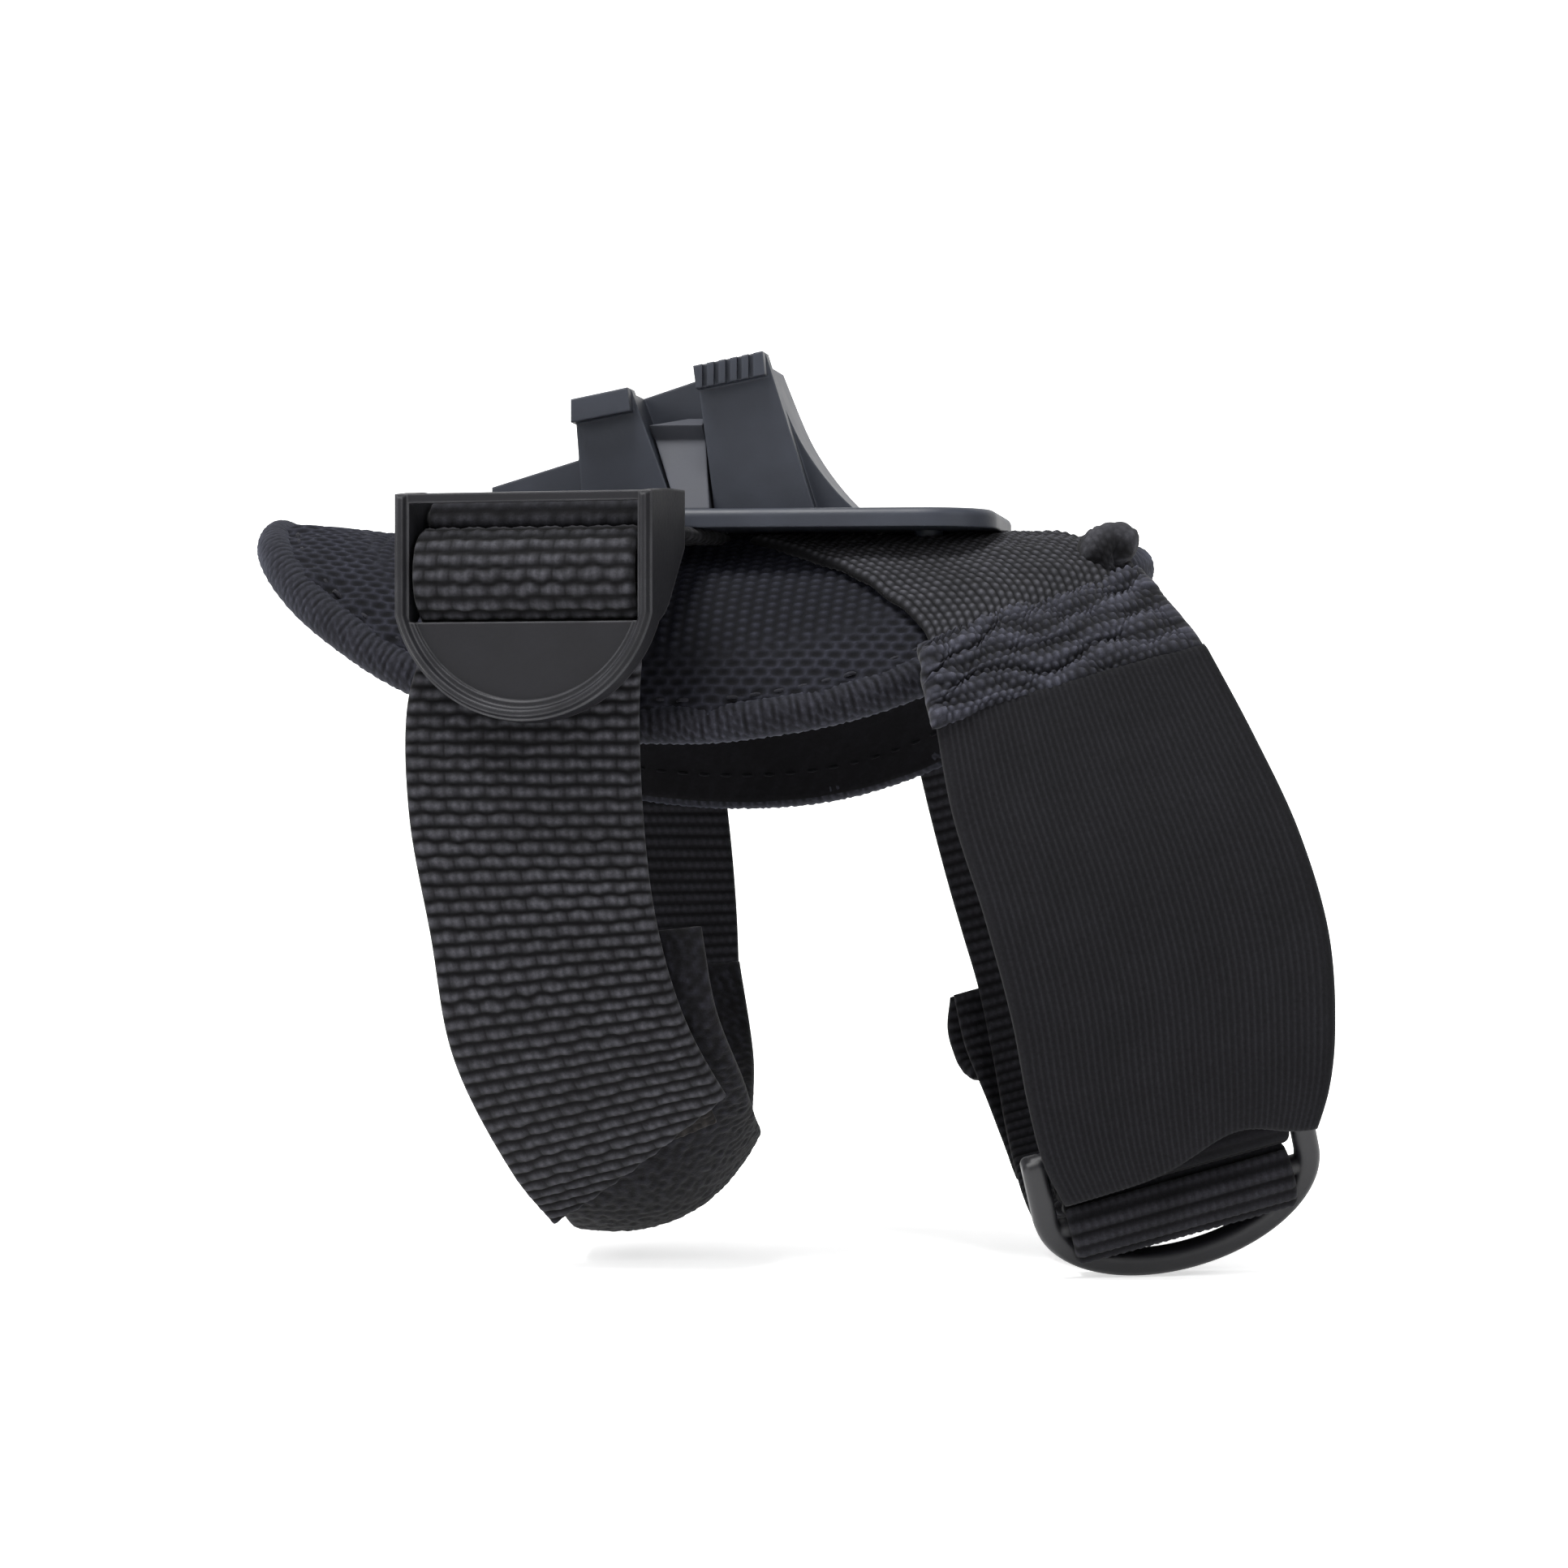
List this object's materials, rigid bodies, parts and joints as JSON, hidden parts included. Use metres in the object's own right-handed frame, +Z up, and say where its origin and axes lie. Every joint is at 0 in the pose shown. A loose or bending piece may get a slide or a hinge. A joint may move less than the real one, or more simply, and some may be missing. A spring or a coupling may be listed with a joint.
{
  "type": "strap-on device mount harness",
  "caption": "Padded wrist or forearm harness with a webbing loop, a stretch loop, ladder-lock buckles and an upright clip-in cradle on a moulded plate.",
  "frame": {"origin": "underside of the pad, on its ridge, midway along", "axes": "+X along the limb towards the stretch loop, +Y towards the back straps, +Z up out of the cradle"},
  "size_m": [0.1217, 0.0814, 0.1015],
  "materials": {
    "cradle_plastic": "satin moulded nylon",
    "rivet_plastic": "satin",
    "buckle_plastic": "satin moulded acetal",
    "stiffener": "matte sheet",
    "mesh": "spacer mesh",
    "foam": "closed-cell foam",
    "lining": "brushed jersey",
    "binding": "knitted binding tape",
    "coarse_webbing": "coarse basket-weave webbing",
    "ribbed_webbing": "ribbed webbing",
    "fine_webbing": "fine twill webbing",
    "loop_tape": "loop tape",
    "hook_tape": "hook tape",
    "neoprene": "ribbed jersey-faced neoprene"
  },
  "bodies": {
    "harness": {"mount_base": "cradle_plastic", "plate_rivets": "rivet_plastic", "backing_plate": "stiffener", "pad_cover": "mesh", "pad_foam": "foam", "pad_lining": "lining", "pad_binding": "binding", "binding_fold": "binding", "left_anchor_webbing": "coarse_webbing", "left_back_strap": "ribbed_webbing", "left_loop_tape": "loop_tape", "right_webbing": "fine_webbing", "hem_cuff": "mesh", "neoprene_band": "neoprene", "right_anchor_loop": "neoprene", "right_back_strap": "ribbed_webbing"},
    "left_buckle": {"left_buckle": "buckle_plastic", "left_band_wrap": "coarse_webbing"},
    "left_band": {"left_front_band": "coarse_webbing", "left_hook_tape": "hook_tape"},
    "latch": {"latch_tongue": "cradle_plastic"},
    "right_buckle": {"right_buckle": "buckle_plastic", "right_band_wrap": "ribbed_webbing"},
    "right_tail": {"right_tail": "ribbed_webbing", "right_tail_fold": "ribbed_webbing"}
  },
  "joints": [
    {"name": "left_buckle_tilt", "type": "hinge", "parent": "harness", "child": "left_buckle", "pos_m": [-0.01402, -0.03186, 0.0069], "axis": [-0.9877, 0.1564, 0], "range_deg": [0, 22]},
    {"name": "left_band_follow", "type": "hinge", "parent": "left_buckle", "child": "left_band", "pos_m": [-0.01458, -0.03542, 0.0019], "axis": [-0.9877, 0.1564, 0], "range_deg": [-22, 0]},
    {"name": "latch_flex", "type": "hinge", "parent": "harness", "child": "latch", "pos_m": [-0.0016, -0.0078, 0.0092], "axis": [-1, 0, 0], "range_deg": [0, 8], "stiffness_Nm_per_rad": 0.03},
    {"name": "right_buckle_tilt", "type": "hinge", "parent": "harness", "child": "right_buckle", "pos_m": [0.05248, -0.0247, -0.05895], "axis": [-0.9482, -0.1843, -0.2588], "range_deg": [0, 25]},
    {"name": "right_tail_lift", "type": "hinge", "parent": "harness", "child": "right_tail", "pos_m": [0.04859, 0.02227, -0.06345], "axis": [-0.9482, -0.1843, -0.2588], "range_deg": [0, 30]}
  ],
  "couplings": [
    {"joint": "left_band_follow", "follows": "left_buckle_tilt", "ratio": -1}
  ]
}
